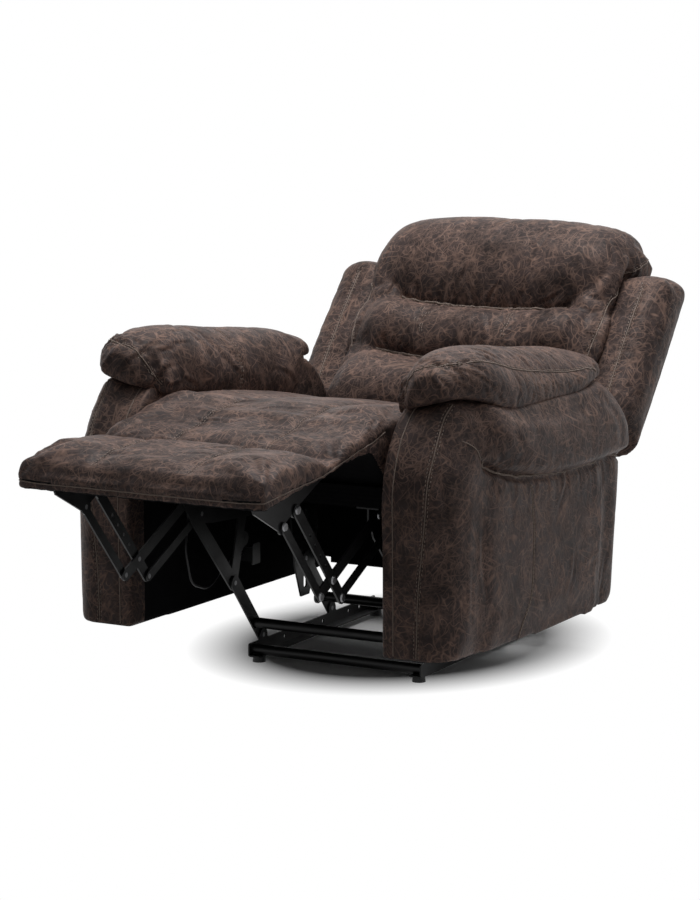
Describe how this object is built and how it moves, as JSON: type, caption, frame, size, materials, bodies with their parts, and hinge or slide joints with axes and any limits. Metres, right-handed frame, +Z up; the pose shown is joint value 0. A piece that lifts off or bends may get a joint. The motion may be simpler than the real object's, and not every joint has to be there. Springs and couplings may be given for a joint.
{
  "type": "recliner armchair",
  "caption": "Padded reclining armchair with pillow arms, a tufted winged back and a fold-out footrest on a steel scissor linkage, shown open.",
  "frame": {"origin": "on the floor, under the middle of the chair's bounding box in its open pose", "axes": "+Z up, +X towards the sitter's left, +Y towards the chair's back, so the chair faces -Y"},
  "size_m": [0.898, 1.7061, 0.8722],
  "materials": {
    "leather": "distressed matt faux leather with a soft sheen",
    "lining": "black woven lining",
    "webbing": "woven elastic webbing",
    "timber": "sawn softwood",
    "plywood": "birch plywood",
    "black_plastic": "moulded, fine grain",
    "cable_sheath": "smooth plastic sheath",
    "zinc_steel": "dull zinc plate",
    "black_steel": "satin black powder coat"
  },
  "bodies": {
    "base": {"base_rail_left": "black_steel", "base_rail_right": "black_steel", "front_base_tube": "black_steel", "rear_base_tube": "black_steel", "base_feet": "black_plastic", "base_pivot_bolts": "zinc_steel"},
    "front_swing": {"front_swing_link_left": "black_steel", "front_swing_link_right": "black_steel", "front_swing_tube": "black_steel"},
    "rear_swing": {"rear_swing_link_left": "black_steel", "rear_swing_link_right": "black_steel", "rear_swing_tube": "black_steel"},
    "body": {"side_plate_left": "black_steel", "side_plate_right": "black_steel", "chassis_tube": "black_steel", "chassis_pivot_pins": "zinc_steel", "arm_bracket_left": "black_steel", "arm_bracket_right": "black_steel", "seat_side_rails": "timber", "seat_cross_rails": "timber", "seat_webbing": "webbing", "dust_cover": "lining", "seat_cushion": "leather", "arm_frame_left": "plywood", "arm_frame_right": "plywood", "arm_cover_left": "leather", "arm_cover_right": "leather", "arm_pad_left": "leather", "arm_pad_right": "leather", "latch_cup": "black_plastic", "release_cable": "cable_sheath", "latch_bracket": "black_steel"},
    "back": {"back_bracket_left": "black_steel", "back_bracket_right": "black_steel", "back_posts": "timber", "back_rails": "timber", "back_webbing": "webbing", "back_panel": "lining", "wing_left": "leather", "wing_right": "leather", "lumbar_cushion": "leather", "middle_cushion": "leather", "head_cushion": "leather"},
    "footrest": {"footrest_board": "plywood", "footrest_bracket_left": "black_steel", "footrest_bracket_right": "black_steel", "footrest_pad": "leather", "footrest_rivets": "zinc_steel"},
    "rear_links": {"rear_link_left": "black_steel", "rear_link_right": "black_steel", "rear_link_rivets": "zinc_steel"},
    "control_links": {"control_link_left": "black_steel", "control_link_right": "black_steel", "control_link_rivets": "zinc_steel"},
    "front_links": {"front_link_left": "black_steel", "front_link_right": "black_steel"},
    "guide_links": {"guide_link_left": "black_steel", "guide_link_right": "black_steel"},
    "handle": {"release_handle": "black_plastic"},
    "latch": {"latch_pawl": "black_steel"}
  },
  "joints": [
    {"name": "recline", "type": "hinge", "parent": "base", "child": "front_swing", "pos_m": [0, -0.0422, 0.048], "axis": [-1, 0, 0], "range_deg": [0, 108]},
    {"name": "rear_swing", "type": "hinge", "parent": "base", "child": "rear_swing", "pos_m": [0, 0.2578, 0.048], "axis": [-1, 0, 0], "range_deg": [0, 108]},
    {"name": "body_level", "type": "hinge", "parent": "front_swing", "child": "body", "pos_m": [0, -0.15147, 0.17823], "axis": [1, 0, 0], "range_deg": [0, 108]},
    {"name": "back_tilt", "type": "hinge", "parent": "body", "child": "back", "pos_m": [0, 0.3018, 0.43], "axis": [1, 0, 0], "range_deg": [0, 29]},
    {"name": "footrest_fold", "type": "hinge", "parent": "body", "child": "footrest", "pos_m": [0, -0.4482, 0.541], "axis": [1, 0, 0], "range_deg": [0, 80]},
    {"name": "rear_links", "type": "hinge", "parent": "body", "child": "rear_links", "pos_m": [0, -0.3112, 0.384], "axis": [1, 0, 0], "range_deg": [0, 80]},
    {"name": "control_links", "type": "hinge", "parent": "body", "child": "control_links", "pos_m": [0, -0.2757, 0.34331], "axis": [1, 0, 0], "range_deg": [0, 80]},
    {"name": "front_links", "type": "hinge", "parent": "rear_links", "child": "front_links", "pos_m": [0, -0.5052, 0.29], "axis": [1, 0, 0], "range_deg": [-80, 0]},
    {"name": "guide_links", "type": "hinge", "parent": "rear_links", "child": "guide_links", "pos_m": [0, -0.5538, 0.26645], "axis": [1, 0, 0], "range_deg": [-80, 0]},
    {"name": "release", "type": "hinge", "parent": "body", "child": "handle", "pos_m": [-0.428, -0.2332, 0.455], "axis": [0, 0, 1], "range_deg": [0, 30], "stiffness_Nm_per_rad": 0.4},
    {"name": "latch", "type": "hinge", "parent": "body", "child": "latch", "pos_m": [-0.2145, -0.0972, 0.262], "axis": [-1, 0, 0], "range_deg": [0, 15]}
  ],
  "couplings": [
    {"joint": "rear_swing", "follows": "recline", "ratio": 1},
    {"joint": "body_level", "follows": "recline", "ratio": 1},
    {"joint": "back_tilt", "follows": "recline", "ratio": 0.26852},
    {"joint": "rear_links", "follows": "footrest_fold", "ratio": 1},
    {"joint": "control_links", "follows": "footrest_fold", "ratio": 1},
    {"joint": "front_links", "follows": "footrest_fold", "ratio": -1},
    {"joint": "guide_links", "follows": "footrest_fold", "ratio": -1},
    {"joint": "latch", "follows": "release", "ratio": 0.5}
  ]
}
